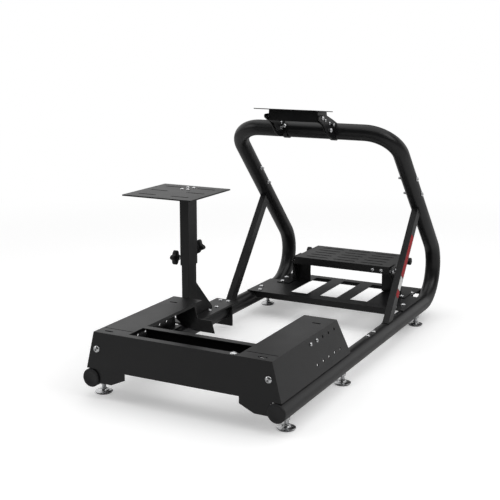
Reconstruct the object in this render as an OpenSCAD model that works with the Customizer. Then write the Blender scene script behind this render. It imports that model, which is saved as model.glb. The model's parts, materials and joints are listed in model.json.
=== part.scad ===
// Sim racing cockpit: a round-tube floor frame with a leaning hoop that carries the wheel
// deck, two seat boxes at the back, a shifter stand on the left rail and a pedal tray.
// Millimetres. +Y is the driver's forward, +X the driver's right, +Z up.
// The origin is on the floor, on the middle plane, under the rear face of the frame.

/* [Tube frame] */
// Outside diameter of the round frame tube
tube_d = 50; // [38:1:60]
// Wall thickness of the round frame tube
tube_wall = 1.5; // [1.5:0.5:4]
// Distance between the axes of the two floor rails
rail_gauge = 544; // [460:2:640]
// Height of the rail axis above the floor
rail_z = 58; // [48:1:90]
// Distance from the rear end of a rail to the start of its front bend
rail_length = 1091; // [950:1:1250]
// Centreline radius of the large front bend
front_bend_r = 112; // [80:1:160]
// Lean of the hoop away from upright, towards the driver
hoop_lean = 43.7; // [30:0.1:52]
// Height of the crossbar axis above the floor
bar_z = 653; // [560:1:740]
// Centreline radius of the two upper corners of the hoop
corner_r = 96; // [60:1:140]
// Distance along the tube from the front bend to the joint with the hoop
joint_s = 312; // [200:1:340]

/* [Struts] */
// Depth of the strut tube, seen from the side
strut_d = 30; // [20:1:40]
// Width of the strut tube across the frame
strut_w = 20; // [15:1:30]
// Wall thickness of the strut tube
strut_wall = 1.5; // [1.5:0.5:3]
// Where the strut axis crosses the top of the rail, from the rear
strut_y = 762; // [650:1:850]
// Lean of the strut away from upright, towards the pedals
strut_lean = 38.7; // [25:0.1:50]

/* [Seat base] */
// Height of the top of the seat boxes above the floor
seat_z = 186; // [150:1:240]
// Half width of the seat base at the top of its outer corners
seat_half_top = 260; // [200:1:300]
// Half width of the seat base at the bottom of its outer corners
seat_half_foot = 285; // [220:1:330]
// Distance from the middle plane to the inner edge of a seat box
seat_inner = 163; // [120:1:200]
// Length of the top of a seat box
seat_length = 392; // [300:1:480]
// How far the lower end of a seat box reaches past its top
seat_toe = 42; // [0:1:60]
// Depth of the hollow rear beam
beam_depth = 105; // [70:1:150]
// Thickness of the bent sheet steel
sheet = 2.5; // [2:0.5:5]
// Width of the lips along the top of the rear beam
beam_lip = 20; // [12:1:35]

/* [Shifter stand] */
// Distance of the shifter post from the rear of the frame
post_y = 500; // [450:1:560]
// Depth of the sliding sleeve, front to back
sleeve_d = 50; // [40:1:60]
// Width of the sliding sleeve
sleeve_w = 30; // [25:1:45]
// Height of the lower end of the sleeve above the floor
sleeve_z = 258; // [220:1:330]
// Height of the top of the shifter plate above the floor
shifter_z = 490; // [420:1:600]
// Side of the square shifter plate
shifter_plate = 230; // [150:1:260]
// Distance the shifter plate sits behind the post
shifter_back = 62; // [0:1:80]

/* [Pedal tray] */
// Distance from the rear of the frame to the near edge of the tray
tray_y = 887; // [850:1:960]
// Length of the tray, front to back
tray_length = 290; // [220:1:320]
// Height of the folded edges of the tray
tray_fold = 20; // [15:1:40]
// Width of each of the three openings
opening_w = 62; // [40:1:75]
// Length of the openings
opening_l = 213; // [120:1:230]
// Distance between the middles of neighbouring openings
opening_pitch = 107; // [90:1:120]

/* [Pedal plate] */
// Width of the raised pedal plate
pedal_w = 346; // [280:1:400]
// Length of the raised pedal plate, front to back
pedal_l = 200; // [150:1:240]
// Height of the top of the pedal plate above the floor
pedal_z = 181; // [150:1:240]
// Distance from the rear of the frame to the near edge of the pedal plate
pedal_y = 1042; // [980:1:1060]
// Height of the folded edges of the pedal plate
pedal_fold = 25; // [15:1:35]

/* [Wheel deck] */
// Width of the wheel deck plate
deck_w = 200; // [180:1:300]
// Length of the wheel deck plate
deck_l = 127; // [110:1:180]
// Downward tilt of the wheel deck towards the pedals
deck_tilt = 5.4; // [3:0.1:10]
// Distance between the two bracket plates on the crossbar
deck_gauge = 176; // [120:2:190]
// Distance of the deck pivot behind the crossbar axis
pivot_back = 117; // [90:1:130]
// Height of the deck pivot above the crossbar axis
pivot_up = 50; // [42:1:70]

/* [Feet] */
// Diameter of a levelling foot where it meets the floor
foot_d = 44; // [30:1:60]
// Distance of the rear feet from the rear of the frame
foot_rear_y = 55; // [35:1:120]
// Distance of the middle feet from the rear of the frame
foot_mid_y = 409; // [300:1:600]
// Distance of the front feet from the rear of the frame
foot_front_y = 1031; // [900:1:1080]

/* [Quality] */
// Number of facets used when a curve is drawn as a mesh
facets = 48; // [24:8:96]

/* [Hidden] */
$fn = facets;
tube_r = tube_d / 2;
rail_x = rail_gauge / 2;
rail_top = rail_z + tube_r;
// Seat of a flat sheet on the crown of a rail
crown = rail_top + 0.2;
// Direction of the leaning part of the hoop, going up
lean_y = -sin(hoop_lean);
lean_z = cos(hoop_lean);
// Centre of the front bend and where the lean starts
bend_y = rail_length;
bend_z = rail_z + front_bend_r;
bend_turn = 90 + hoop_lean;
lean_start_y = bend_y + front_bend_r * cos(hoop_lean);
lean_start_z = bend_z + front_bend_r * sin(hoop_lean);
lean_total = (bar_z - lean_start_z) / lean_z;
bar_y = lean_start_y + lean_total * lean_y;
hoop_leg = lean_total - corner_r - joint_s;
joint_y = lean_start_y + joint_s * lean_y;
joint_z = lean_start_z + joint_s * lean_z;
joint_bolt_s = 38;
draw_step = 0.1;
bolt_d = 8;
bolt_clear = 8.6;
// Slope of the outer faces of the seat base, sideways per millimetre of height
seat_foot_z = crown;
seat_flare = (seat_half_foot - seat_half_top) / (seat_z - seat_foot_z);
hole_d = 8;
hole_pitch = 37.5;
// Upper and lower row of holes in the flared sides
upper_row_z = seat_z - 18;
lower_row_z = seat_z - 75;
shifter_x = -rail_x;
base_t = 6;
base_top = crown + base_t;
base_l = 294;
base_w = 80;
base_y = post_y - 55;
post_d = sleeve_d - 5;
post_w = sleeve_w - 5;
post_wall = 2;
post_top = shifter_z - 62;
front_knob_z = sleeve_z + 44;
side_knob_z = sleeve_z + 16;
knob_r = 22;
knob_gap = 27;
knob_t = 16;
plate_t = 4;
tray_top = crown + sheet;
tray_ear = rail_x + 6;
tray_ear_l = 176;
tray_half = rail_x - tube_r - 4;
panel_y = pedal_y + 43;
pedal_half = pedal_w / 2;
panel_end = pedal_half + 29;
fold_bolts = [pedal_half - 58, pedal_half - 28];
pedal_pivot_y = pedal_y + 11;
pedal_knob_y = pedal_y + 158;
pedal_knob_z = pedal_z - 11;
pedal_pivot_z = pedal_z - 18;
bracket_gap = 6;
lock_out = 30;
bracket_x = pedal_half + bracket_gap;
pivot_y = bar_y - pivot_back;
pivot_z = bar_z + pivot_up;
deck_bracket_t = 4;
// Outline of a deck bracket from the side, measured from the pivot
bracket_outline = [[-20, 7], [-25, 4], [-24, -3], [-15, -8], [10, -20], [32, -40], [50, -58], [76, -70],
                   [102, -72], [pivot_back, -pivot_up], [pivot_back, -pivot_up + 24], [82, -12], [36, 4], [18, 7]];
bracket_holes = [[22, -9], [53, -20], [86, -28]];
strap_w = 16;
strap_t = 3;
strap_bolt_a = 156;
strap_x = deck_gauge / 2 - deck_bracket_t / 2 - strap_w / 2 + 1;
cradle_gap = 5.5;
cradle_half = deck_gauge / 2 - deck_bracket_t / 2 - cradle_gap;
deck_top = 21;
// Distance from the pivot back to the near edge of the deck
deck_near = 74.6;
cradle_near = 13;
slot_rows = [-38, 22];
lock_r = 75;
lock_a = -28.6;
rear_bolt_x = 251;
rear_bolt_z = 140;
seam_y = 42;
lip_bolt_x = 150;
lip_drop = 9;
// Rows of bolts on the crown of the rail, from the near end of the stand's base
rail_bolt_rows = [153, 198, 273];
rail_bolt_x = 14;
tray_bolts_xy = [[rail_x - 32, tray_y + 24], [rail_x - 16, tray_y + 65]];
tray_far_bolt = [rail_x - 38, tray_y + 218];
foot_bolt = [pedal_half + 46, pedal_y];

module ring(r, wall, h) {
    difference() {
        cylinder(r = r, h = h);
        translate([0, 0, -1]) cylinder(r = r - wall, h = h + 2);
    }
}

// A bent tube in the XY plane, around Z, that starts on the X axis
module tube_bend(r, turn) {
    rotate_extrude(angle = turn) translate([r, 0]) difference() {
        circle(r = tube_r);
        circle(r = tube_r - tube_wall);
    }
}

// A rectangular tube around Z
module box_tube(w, d, wall, h) {
    difference() {
        translate([-w / 2, -d / 2, 0]) cube([w, d, h]);
        translate([-w / 2 + wall, -d / 2 + wall, -1]) cube([w - 2 * wall, d - 2 * wall, h + 2]);
    }
}

// A button-head bolt seated at z = 0, with its head above and its shank below
module bolt(shank, head_d = 14, head_h = 5, d = bolt_d) {
    difference() {
        union() {
            translate([0, 0, -shank]) cylinder(d = d, h = shank + 1);
            cylinder(d = head_d, h = head_h * 0.4);
            translate([0, 0, head_h * 0.4]) cylinder(d1 = head_d, d2 = head_d * 0.62, h = head_h * 0.6);
        }
        translate([0, 0, head_h - 2.5]) cylinder(d = head_d * 0.4, h = 4, $fn = 6);
    }
}

// A hexagon nut that stands on z = 0
module nut(across = 13, h = 6.5, d = bolt_d) {
    difference() {
        cylinder(d = across / cos(30), h = h, $fn = 6);
        translate([0, 0, -1]) cylinder(d = d + 0.3, h = h + 2);
    }
}

// Places its children on the leaning plane: Z runs up along the legs from the front bend
module on_lean() {
    translate([0, lean_start_y, lean_start_z]) rotate([hoop_lean, 0, 0]) children();
}

// The two through bores of each joint, one in the hoop and one in the side frame
module joint_bores() {
    for (side = [-1, 1]) for (s = [-1, 1])
        on_lean() translate([side * rail_x - 40, 0, joint_s + s * joint_bolt_s])
            rotate([0, 90, 0]) cylinder(d = bolt_clear, h = 80);
}

// Solid bent rod along the axis of a side frame, which runs past both ends by the overrun.
// The leg starts inside the bend and is thinner by a draw step, as a drawn tube is.
module side_path(r, over) {
    translate([0, -over, rail_z]) rotate([-90, 0, 0]) cylinder(r = r, h = rail_length + over);
    translate([0, bend_y, bend_z]) rotate([90, 0, 90]) rotate([0, 0, -90])
        rotate_extrude(angle = bend_turn) translate([front_bend_r, 0]) circle(r = r);
    on_lean() translate([0, 0, -2]) cylinder(r = r - draw_step, h = joint_s + over + 2);
}

// Side frame: rail, front bend and the lower part of the leaning leg, one bent tube
module side_frame(side) {
    color([0.04, 0.04, 0.045]) difference() {
        translate([side * rail_x, 0, 0]) difference() {
            side_path(tube_r, 0);
            side_path(tube_r - tube_wall, 5);
        }
        joint_bores();
    }
}

module side_frame_left() side_frame(-1);
module side_frame_right() side_frame(1);

// Hoop: the upper legs, two corners and the crossbar, one bent tube
module hoop() {
    leg = lean_total - corner_r;
    color([0.04, 0.04, 0.045]) difference() {
        on_lean() union() {
            for (side = [-1, 1]) {
                translate([side * rail_x, 0, joint_s]) ring(tube_r, tube_wall, leg - joint_s);
                mirror([side < 0 ? 1 : 0, 0, 0]) translate([rail_x - corner_r, 0, leg])
                    rotate([90, 0, 0]) tube_bend(corner_r, 90);
            }
            translate([corner_r - rail_x, 0, lean_total]) rotate([0, 90, 0])
                ring(tube_r, tube_wall, 2 * (rail_x - corner_r));
        }
        joint_bores();
    }
}

// Through bolts of the two joints, heads outside and nuts inside
module hoop_bolts() {
    color([0.75, 0.75, 0.76])
    for (side = [-1, 1]) for (s = [-1, 1])
        on_lean() translate([side * rail_x, 0, joint_s + s * joint_bolt_s])
            rotate([0, side * 90, 0]) {
                translate([0, 0, tube_r + 0.3]) bolt(tube_d + 8, 14, 4.5);
                translate([0, 0, -tube_r - 7]) nut(13, 6.5);
            }
}

// Strut of rectangular tube, coped to the rail and to the leaning leg
module strut(side) {
    span = ((lean_start_y - strut_y) * cos(hoop_lean) + (lean_start_z - rail_top) * sin(hoop_lean))
        / sin(strut_lean + hoop_lean);
    color([0.04, 0.04, 0.045]) difference() {
        translate([side * rail_x, strut_y, rail_top]) rotate([-strut_lean, 0, 0])
            translate([0, 0, -22]) box_tube(strut_w, strut_d, strut_wall, span + 22);
        translate([side * rail_x, 0, rail_z]) rotate([-90, 0, 0])
            cylinder(r = tube_r + 0.25, h = rail_length);
        on_lean() translate([side * rail_x, 0, 0]) cylinder(r = tube_r + 0.25, h = joint_s);
    }
}

module strut_left() strut(-1);
module strut_right() strut(1);

// Flat cap with a plug that closes the rear end of a rail
module end_cap(side) {
    color([0.03, 0.03, 0.03]) translate([side * rail_x, 0, rail_z]) rotate([-90, 0, 0]) {
        translate([0, 0, -4]) cylinder(r = tube_r, h = 3.8);
        translate([0, 0, -1]) cylinder(r = tube_r - tube_wall - 0.3, h = 15);
    }
}

module end_cap_left() end_cap(-1);
module end_cap_right() end_cap(1);

// Outline of the rear face of the seat base
module rear_face() {
    polygon([[-seat_half_top, seat_z], [seat_half_top, seat_z],
             [seat_half_foot, seat_foot_z + 1], [-seat_half_foot, seat_foot_z + 1]]);
}

// Rear beam: a lipped channel that opens upwards, with a wide rear face
module rear_beam() {
    half = seat_inner - 0.3;
    color([0.05, 0.05, 0.055]) difference() {
        union() {
            translate([0, sheet, 0]) rotate([90, 0, 0]) linear_extrude(sheet) rear_face();
            translate([-half, 0, seat_z - sheet]) cube([2 * half, beam_lip, sheet]);
            translate([-half, 0, seat_foot_z + 1]) cube([2 * half, beam_depth, sheet]);
            translate([-half, beam_depth - sheet, seat_foot_z + 1])
                cube([2 * half, sheet, seat_z - seat_foot_z - 1]);
            translate([-half, beam_depth - beam_lip, seat_z - sheet]) cube([2 * half, beam_lip, sheet]);
        }
        for (side = [-1, 1]) translate([side * rear_bolt_x, -1, rear_bolt_z]) rotate([-90, 0, 0])
            cylinder(d = bolt_clear, h = sheet + 2);
        translate([lip_bolt_x, beam_lip / 2, seat_z - 10]) cylinder(d = bolt_clear, h = 20);
    }
}

// One seat box: bent sheet with a flat top, a flared outer side that stands on the rail,
// an inner lip, and a sloped end plate with a leg on its inner side
module seat_box(side) {
    y0 = sheet + 0.3;
    far = seat_length + seat_toe;
    slope = atan(seat_toe / (seat_z - seat_foot_z));
    color([0.06, 0.06, 0.065]) mirror([side < 0 ? 1 : 0, 0, 0]) difference() {
        union() {
            difference() {
                translate([0, far, 0]) rotate([90, 0, 0]) linear_extrude(far - y0) polygon([
                    [seat_inner, seat_z], [seat_half_top, seat_z],
                    [seat_half_foot, seat_foot_z], [seat_half_foot - 25, seat_foot_z],
                    [seat_half_foot - 25, seat_foot_z + sheet],
                    [seat_half_foot - sheet * 1.05 - seat_flare * sheet, seat_foot_z + sheet],
                    [seat_half_top - sheet * 1.05 + seat_flare * sheet, seat_z - sheet],
                    [seat_inner + sheet, seat_z - sheet], [seat_inner + sheet, seat_z - lip_drop],
                    [seat_inner, seat_z - lip_drop]]);
                translate([0, seat_length, seat_z]) rotate([slope, 0, 0])
                    translate([0, 0, -200]) cube([400, 200, 400]);
            }
            intersection() {
                translate([0, seat_length, seat_z]) rotate([slope, 0, 0])
                    translate([0, -sheet, -200]) cube([400, sheet, 400]);
                translate([0, far + 40, 0]) rotate([90, 0, 0]) linear_extrude(100) polygon([
                    [seat_inner + 31, seat_z], [seat_half_top, seat_z],
                    [seat_half_foot - 25 * seat_flare - 8, seat_foot_z + 25], [seat_half_foot - 38, seat_foot_z],
                    [seat_inner + 50, seat_foot_z - 8], [seat_inner - 16, seat_foot_z - 8],
                    [seat_inner - 16, seat_foot_z + 36], [seat_inner + 31, seat_foot_z + 36]]);
            }
        }
        translate([seat_inner + 4, seam_y, seat_z - 10]) cube([seat_half_top - seat_inner - 9, 3, 20]);
        for (y = [20, 335]) translate([225, y, seat_z - 10]) slot_cut(26, 7, 20);
        for (i = [0:4]) {
            side_hole(213 + i * hole_pitch, upper_row_z);
            side_hole(227 + i * hole_pitch, lower_row_z);
        }
    }
}

// A hole through the flared side, square to the YZ plane
module side_hole(y, z) {
    translate([seat_half_top - 20, y, z]) rotate([0, 90, 0]) cylinder(d = hole_d, h = 60);
}

// A straight slot along X, cut upwards from z = 0
module slot_cut(l, w, h) {
    translate([-(l - w) / 2, -w / 2, 0]) cube([l - w, w, h]);
    for (s = [-1, 1]) translate([s * (l - w) / 2, 0, 0]) cylinder(d = w, h = h);
}

module seat_box_left() seat_box(-1);
module seat_box_right() seat_box(1);

// Bolts of the rear face and of the flared sides
module seat_box_bolts() {
    color([0.75, 0.75, 0.76]) {
        for (side = [-1, 1]) {
            translate([side * rear_bolt_x, 0, rear_bolt_z]) rotate([90, 0, 0]) bolt(14, 19, 6);
            for (i = [0:1]) mirror([side < 0 ? 1 : 0, 0, 0])
                translate([seat_half_top + (seat_z - upper_row_z) * seat_flare, 213 + i * hole_pitch, upper_row_z])
                    rotate([0, 90 - atan(seat_flare), 0]) translate([0, 0, 0.3]) bolt(9, 13, 4, hole_d - 1.6);
        }
        translate([lip_bolt_x, beam_lip / 2, seat_z]) bolt(12, 18, 5);
    }
}

// Bracket under the rear beam that joins it to the end of a rail
module rear_bracket(side) {
    flange_in = seat_half_foot - 25.5;
    color([0.05, 0.05, 0.055]) mirror([side < 0 ? 1 : 0, 0, 0]) difference() {
        translate([0, 2 * sheet + 0.3, 0]) rotate([90, 0, 0]) linear_extrude(sheet) polygon([
            [168, 150], [168, 65], [210, 46], [rail_x, 46], [rail_x, rail_z], [flange_in, rail_z],
            [flange_in, crown + 8], [rear_bolt_x + 12, crown + 8], [rear_bolt_x + 12, 150]]);
        translate([rail_x, -10, rail_z]) rotate([-90, 0, 0]) cylinder(r = tube_r + 0.25, h = 60);
        translate([rear_bolt_x, -1, rear_bolt_z]) rotate([-90, 0, 0])
            cylinder(d = bolt_clear, h = 40);
    }
}

module rear_bracket_left() rear_bracket(-1);
module rear_bracket_right() rear_bracket(1);

// Levelling foot: cup, stud and lock nut under a rail
module foot(side, y) {
    h = rail_z - tube_r - 0.2;
    color([0.8, 0.8, 0.82]) translate([side * rail_x, y, 0]) {
        cylinder(d = foot_d, h = 3);
        translate([0, 0, 3]) cylinder(d1 = foot_d - 4, d2 = 18, h = 5);
        translate([0, 0, 7]) cylinder(d = 12, h = h - 7);
        translate([0, 0, h - 8]) cylinder(d = 22, h = 8, $fn = 6);
    }
}

module foot_rear_left() foot(-1, foot_rear_y);
module foot_rear_right() foot(1, foot_rear_y);
module foot_mid_left() foot(-1, foot_mid_y);
module foot_mid_right() foot(1, foot_mid_y);
module foot_front_left() foot(-1, foot_front_y);
module foot_front_right() foot(1, foot_front_y);

// Flat base of the shifter stand on the crown of the left rail
module shifter_base() {
    color([0.05, 0.05, 0.055]) difference() {
        translate([shifter_x - base_w / 2, base_y, crown]) cube([base_w, base_l, base_t]);
        for (x = [-rail_bolt_x, rail_bolt_x]) for (y = rail_bolt_rows)
            translate([shifter_x + x, base_y + y, crown - 1]) cylinder(d = bolt_clear, h = base_t + 2);
    }
}

// Plate across the left rail that backs the stand and reaches down beside the rail
module shifter_stop() {
    color([0.05, 0.05, 0.055]) difference() {
        translate([shifter_x - 36, post_y + 202, 14]) cube([72, 6, crown - 14.2]);
        translate([shifter_x, post_y + 190, rail_z]) rotate([-90, 0, 0])
            cylinder(r = tube_r + 0.25, h = 40);
    }
}

// Triangular gusset between the post and its base
module shifter_gusset() {
    y = post_y + post_d / 2 + 0.2;
    color([0.05, 0.05, 0.055]) translate([shifter_x - 2, 0, 0]) rotate([90, 0, 90])
        linear_extrude(4) polygon([[y, base_top], [y + 112, base_top], [y + 112, base_top + 6],
                                   [y + 8, 202], [y, 202]]);
}

// Inner post, a rectangular tube that stands on the base
module shifter_post() {
    color([0.04, 0.04, 0.045]) translate([shifter_x, post_y, base_top])
        box_tube(post_w, post_d, post_wall, post_top - base_top);
}

// Bolts along the crown of the rails: pairs in the stand's base, two on the bare right rail
module rail_bolts() {
    color([0.75, 0.75, 0.76]) {
        for (x = [-rail_bolt_x, rail_bolt_x]) for (y = rail_bolt_rows)
            translate([shifter_x + x, base_y + y, base_top]) bolt(base_t + 1, 14, 5);
        for (y = [rail_bolt_rows[0], rail_bolt_rows[1]])
            translate([rail_x, base_y + y, crown + 0.1]) bolt(0.05, 13, 5);
    }
}

// Sliding sleeve around the post, with the two bosses of its clamping screws
module shifter_sleeve() {
    top = shifter_z - plate_t;
    color([0.04, 0.04, 0.045]) translate([shifter_x, post_y, 0]) difference() {
        union() {
            translate([-sleeve_w / 2, -sleeve_d / 2, sleeve_z]) cube([sleeve_w, sleeve_d, top - sleeve_z]);
            translate([-sleeve_w / 2 - 5, 0, side_knob_z]) rotate([0, 90, 0]) cylinder(d = 18, h = 6);
            translate([0, sleeve_d / 2 + 5, front_knob_z]) rotate([90, 0, 0]) cylinder(d = 18, h = 6);
        }
        translate([-sleeve_w / 2 + 2, -sleeve_d / 2 + 2, sleeve_z - 1])
            cube([sleeve_w - 4, sleeve_d - 4, top - sleeve_z + 2]);
        translate([-sleeve_w / 2 - 10, 0, side_knob_z]) rotate([0, 90, 0]) cylinder(d = 8, h = 15);
        translate([0, sleeve_d / 2 + 10, front_knob_z]) rotate([90, 0, 0]) cylinder(d = 8, h = 15);
    }
}

// Square plate for the shifter, with long slots both ways
module shifter_top() {
    color([0.05, 0.05, 0.055]) translate([shifter_x, post_y - shifter_back, shifter_z - plate_t])
    difference() {
        translate([-shifter_plate / 2, -shifter_plate / 2, 0]) cube([shifter_plate, shifter_plate, plate_t]);
        for (x = [-1, 1]) for (y = [-1, 1]) translate([x * 55, y * 75, -1]) slot_cut(60, 7, plate_t + 2);
        for (x = [-1, 1]) translate([x * 62, 0, -1]) slot_cut(60, 7, plate_t + 2);
    }
}

// Dome bolts that hold the plate on the sleeve
module shifter_top_bolts() {
    color([0.75, 0.75, 0.76])
    for (x = [-1, 1]) for (y = [-1, 1])
        translate([shifter_x + x * 10, post_y + y * 17, shifter_z + 0.1]) bolt(0.05, 12, 4);
}

// Clamping screw with a four-lobed grip; its tip ends at z = 0
module star_knob() {
    union() {
        cylinder(d = 7.8, h = knob_gap);
        translate([0, 0, knob_gap - 6]) cylinder(d = 15, h = 7);
        translate([0, 0, knob_gap - 1]) cylinder(d = 27, h = knob_t + 2);
        for (a = [0:3]) rotate([0, 0, a * 90 + 45]) translate([knob_r - 7, 0, knob_gap])
            cylinder(d = 14, h = knob_t);
    }
}

module knob_side() {
    color([0.02, 0.02, 0.02]) translate([shifter_x - post_w / 2 - 0.3, post_y, side_knob_z])
        rotate([0, -90, 0]) star_knob();
}

module knob_front() {
    color([0.02, 0.02, 0.02]) translate([shifter_x, post_y + post_d / 2 + 0.3, front_knob_z])
        rotate([-90, 0, 0]) star_knob();
}

// Pedal tray: a sheet with folded ends that lies across both rails
module pedal_tray() {
    far = tray_y + tray_length;
    color([0.05, 0.05, 0.055]) difference() {
        union() {
            translate([-tray_ear, tray_y, crown]) cube([2 * tray_ear, tray_ear_l, sheet]);
            translate([-tray_half, tray_y, crown]) cube([2 * tray_half, tray_length, sheet]);
            translate([-tray_half, tray_y, tray_top - tray_fold]) cube([2 * tray_half, sheet, tray_fold]);
            translate([-tray_half, far - sheet, tray_top - tray_fold])
                cube([2 * tray_half, sheet, tray_fold]);
        }
        for (i = [-1:1]) translate([i * opening_pitch - opening_w / 2, tray_y + 48, 0])
            cube([opening_w, opening_l, 200]);
        for (side = [-1, 1]) {
            for (p = tray_bolts_xy) translate([side * p[0], p[1], crown - 1])
                cylinder(d = bolt_clear, h = sheet + 2);
            for (p = [tray_far_bolt, foot_bolt]) translate([side * p[0], p[1], crown - 1])
                cylinder(d = bolt_clear, h = sheet + 2);
        }
    }
}

// Bolts of the tray on the rails, of the pedal brackets on the tray, and two at its far end
module tray_bolts() {
    color([0.75, 0.75, 0.76]) for (side = [-1, 1]) {
        for (p = tray_bolts_xy) translate([side * p[0], p[1], tray_top]) bolt(sheet + 1, 15, 5);
        translate([side * tray_far_bolt[0], tray_far_bolt[1], tray_top]) bolt(12, 15, 5);
        translate([side * foot_bolt[0], foot_bolt[1], tray_top + sheet]) bolt(16, 15, 5);
    }
}

// Bracket of the pedal plate: a front panel, feet on the tray and a side cheek with the pivot
module pedal_bracket(side) {
    inner = pedal_half - 41;
    color([0.05, 0.05, 0.055]) mirror([side < 0 ? 1 : 0, 0, 0]) difference() {
        union() {
            translate([inner, panel_y, tray_top]) cube([panel_end - inner, sheet, 62]);
            translate([foot_bolt[0] - 32, foot_bolt[1] - 15, tray_top])
                cube([47, panel_y - foot_bolt[1] + 16, sheet]);
            translate([inner, panel_y, tray_top]) cube([bracket_x - inner + sheet, 50, sheet]);
            translate([bracket_x, 0, 0]) rotate([90, 0, 90]) linear_extrude(sheet) polygon([
                [panel_y, tray_top], [panel_y + 50, tray_top], [panel_y + 50, pedal_pivot_z - 14],
                [panel_y + 24, pedal_z - 1], [pedal_pivot_y - 2, pedal_z - 1],
                [pedal_pivot_y - 12, pedal_pivot_z + 8], [pedal_pivot_y - 12, pedal_pivot_z - 8],
                [pedal_pivot_y - 4, pedal_pivot_z - 14]]);
        }
        translate([bracket_x - 1, pedal_pivot_y, pedal_pivot_z]) rotate([0, 90, 0])
            cylinder(d = 8.4, h = sheet + 2);
        translate([bracket_x - 1, pedal_pivot_y, pedal_pivot_z]) rotate([90, 0, 90])
            rotate([0, 0, -9]) rotate_extrude(angle = 28) translate([lock_out - 4.3, 0])
                square([8.6, sheet + 2]);
        translate([foot_bolt[0], foot_bolt[1], tray_top - 1]) cylinder(d = bolt_clear, h = sheet + 2);
    }
}

module pedal_bracket_left() pedal_bracket(-1);
module pedal_bracket_right() pedal_bracket(1);

// Pedal plate: slotted top with folds down all round
module pedal_plate() {
    color([0.05, 0.05, 0.055]) difference() {
        translate([-pedal_half, pedal_y, pedal_z - pedal_fold]) cube([pedal_w, pedal_l, pedal_fold]);
        translate([-pedal_half + sheet, pedal_y + sheet, pedal_z - pedal_fold - 1])
            cube([pedal_w - 2 * sheet, pedal_l - 2 * sheet, pedal_fold - sheet + 1]);
        for (i = [-1:1]) for (j = [0:4]) translate([i * 100, pedal_y + 28 + j * 36, pedal_z - 10])
            slot_cut(80, 7, 20);
        for (side = [-1, 1]) translate([side * (pedal_half - 5) - 5, pedal_pivot_y, pedal_pivot_z])
            rotate([0, 90, 0]) cylinder(d = 8.2, h = 10);
        for (side = [-1, 1]) translate([side * (pedal_half - 5) - 5, pedal_pivot_y + lock_out, pedal_pivot_z])
            rotate([0, 90, 0]) cylinder(d = 8.2, h = 10);
        for (side = [-1, 1]) translate([side * (pedal_half - 5) - 5, pedal_knob_y, pedal_knob_z])
            rotate([0, 90, 0]) cylinder(d = 8.2, h = 10);
        for (x = fold_bolts) translate([x, pedal_y - 1, pedal_z - 15]) rotate([-90, 0, 0])
            cylinder(d = 6.4, h = sheet + 2);
    }
}

// Two small bolts in the near fold of the pedal plate
module pedal_plate_bolts() {
    color([0.75, 0.75, 0.76]) for (x = fold_bolts)
        translate([x, pedal_y, pedal_z - 15]) rotate([90, 0, 0]) bolt(9, 12, 4, 6);
}

// Hand screw in the side fold of the pedal plate, near its far end
module pedal_knob(side) {
    color([0.02, 0.02, 0.02]) translate([side * pedal_half, pedal_knob_y, pedal_knob_z])
        rotate([0, side * 90, 0]) {
            translate([0, 0, -10]) cylinder(d = 7.8, h = 20);
            translate([0, 0, 0.4]) cylinder(d = 14, h = 9);
            translate([0, 0, 8]) cylinder(d = 25, h = 15);
        }
}

module pedal_knob_left() pedal_knob(-1);
module pedal_knob_right() pedal_knob(1);

// Pivot and lock bolts of the pedal plate, through the cheeks and the side folds
module pedal_pivots() {
    color([0.75, 0.75, 0.76]) for (side = [-1, 1]) for (y = [0, lock_out])
        translate([side * (bracket_x + sheet + 0.3), pedal_pivot_y + y, pedal_pivot_z])
            rotate([0, side * 90, 0]) {
                bolt(sheet + bracket_gap + 8, 13, 4, 8);
                translate([0, 0, -sheet - bracket_gap]) cylinder(d = 13, h = bracket_gap - 0.6);
            }
}

// Bracket plate on the crossbar that carries the wheel deck
module deck_bracket(side) {
    y = bar_y;
    z = bar_z;
    color([0.04, 0.04, 0.045]) difference() {
        union() {
            translate([side * deck_gauge / 2 - deck_bracket_t / 2, 0, 0]) rotate([90, 0, 90])
                linear_extrude(deck_bracket_t)
                    polygon([for (p = bracket_outline) [pivot_y + p[0], pivot_z + p[1]]]);
            translate([side * strap_x - strap_w / 2, y, z]) rotate([90, 0, 90]) rotate([0, 0, 135])
                rotate_extrude(angle = 150) translate([tube_r - 1, 0])
                    square([strap_t + 1.25, strap_w]);
        }
        translate([-rail_x, y, z]) rotate([0, 90, 0]) cylinder(r = tube_r + 0.25, h = rail_gauge);
        translate([-200, pivot_y, pivot_z]) rotate([0, 90, 0]) cylinder(d = 8.2, h = 400);
        translate([-200, pivot_y, pivot_z]) rotate([90, 0, 90]) rotate([0, 0, lock_a - deck_tilt - 8])
            rotate_extrude(angle = 25) translate([lock_r - 4.2, 0]) square([8.4, 400]);
        for (p = bracket_holes)
            translate([-200, pivot_y + p[0], pivot_z + p[1]]) rotate([0, 90, 0]) cylinder(d = 6.5, h = 400);
    }
}

// Bolts that clamp the straps of the brackets on the crossbar
module deck_strap_bolts() {
    color([0.75, 0.75, 0.76]) for (side = [-1, 1])
        translate([side * (strap_x - 1), bar_y, bar_z]) rotate([strap_bolt_a - 90, 0, 0])
            translate([0, 0, tube_r + strap_t + 0.5]) bolt(0.2, 13, 5);
}

module deck_bracket_left() deck_bracket(-1);
module deck_bracket_right() deck_bracket(1);

// Places its children at the deck pivot with Y along the tilted deck
module on_deck() {
    translate([0, pivot_y, pivot_z]) rotate([-deck_tilt, 0, 0]) children();
}

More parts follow.
